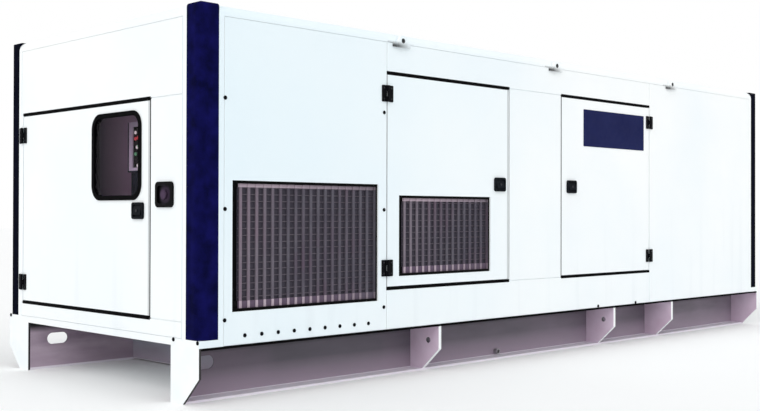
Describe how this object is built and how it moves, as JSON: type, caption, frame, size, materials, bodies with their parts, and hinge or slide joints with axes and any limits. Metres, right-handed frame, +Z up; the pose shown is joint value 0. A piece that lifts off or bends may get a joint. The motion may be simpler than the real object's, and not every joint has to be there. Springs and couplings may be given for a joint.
{
  "type": "diesel generator",
  "caption": "Sound-proofed diesel generator set on a steel skid: white enclosure, navy corner posts, barred air intakes, hinged service doors and a windowed control door.",
  "frame": {"origin": "centre of the footprint, on the ground under the skid rails", "axes": "+X along the length away from the control end, +Z up, service side facing -Y"},
  "size_m": [6.388, 2.244, 2.18],
  "materials": {
    "white_paint": "semi-gloss",
    "navy_paint": "satin",
    "grille_grey": "satin",
    "rail_grey": "satin",
    "frame_dark": "matte",
    "black_steel": "satin",
    "black_plastic": "matte",
    "seal_rubber": "matte",
    "tinted_glass": "gloss",
    "cabinet_dark": "satin",
    "engine_paint": "satin",
    "machine_dark": "matte",
    "zinc_steel": "satin"
  },
  "bodies": {
    "enclosure": {"base_rail_front": "rail_grey", "base_rail_back": "rail_grey", "base_gussets_front": "white_paint", "base_gussets_back": "white_paint", "base_end_plates": "white_paint", "base_cross_members": "rail_grey", "base_deck": "white_paint", "drain_coupling": "zinc_steel", "front_left_panel": "white_paint", "front_intake_grille": "grille_grey", "front_middle_panel": "white_paint", "front_right_panel": "white_paint", "front_header": "white_paint", "front_sill": "white_paint", "front_door_frames": "frame_dark", "front_hinge_plates": "black_steel", "back_wall": "white_paint", "back_grilles": "grille_grey", "back_hinges": "black_steel", "back_latches": "black_plastic", "control_end_header": "white_paint", "control_end_side_panel": "white_paint", "control_end_sill": "white_paint", "end_door_frame": "frame_dark", "end_hinge_plates": "black_steel", "stop_button": "black_plastic", "radiator_end_panel": "white_paint", "discharge_grille": "grille_grey", "corner_posts": "navy_paint", "corner_columns": "white_paint", "roof": "white_paint", "lifting_brackets": "white_paint", "control_cabinet": "cabinet_dark", "engine": "engine_paint", "engine_subframe": "frame_dark", "alternator": "engine_paint", "cooling_fan": "black_plastic", "radiator": "machine_dark", "silencer": "machine_dark"},
    "service_door_left": {"front_left_door": "white_paint", "front_left_door_grille": "grille_grey", "front_left_door_latch": "black_plastic", "front_left_door_hinge_leaves": "black_steel"},
    "service_door_right": {"front_right_door": "white_paint", "front_right_door_latch": "black_plastic", "front_right_door_hinge_leaves": "black_steel"},
    "control_door": {"end_door": "white_paint", "window_seal": "seal_rubber", "window_glass": "tinted_glass", "end_door_latch": "black_plastic", "end_door_hinge_leaves": "black_steel"}
  },
  "joints": [
    {"name": "service_door_left_hinge", "type": "hinge", "parent": "enclosure", "child": "service_door_left", "pos_m": [-1.761, -1.112, 1.245], "axis": [0, 0, -1], "range_deg": [0, 120]},
    {"name": "service_door_right_hinge", "type": "hinge", "parent": "enclosure", "child": "service_door_right", "pos_m": [1.279, -1.112, 1.245], "axis": [0, 0, 1], "range_deg": [0, 120]},
    {"name": "control_door_hinge", "type": "hinge", "parent": "enclosure", "child": "control_door", "pos_m": [-3.187, 0.912, 1.066], "axis": [0, 0, -1], "range_deg": [0, 120]}
  ]
}
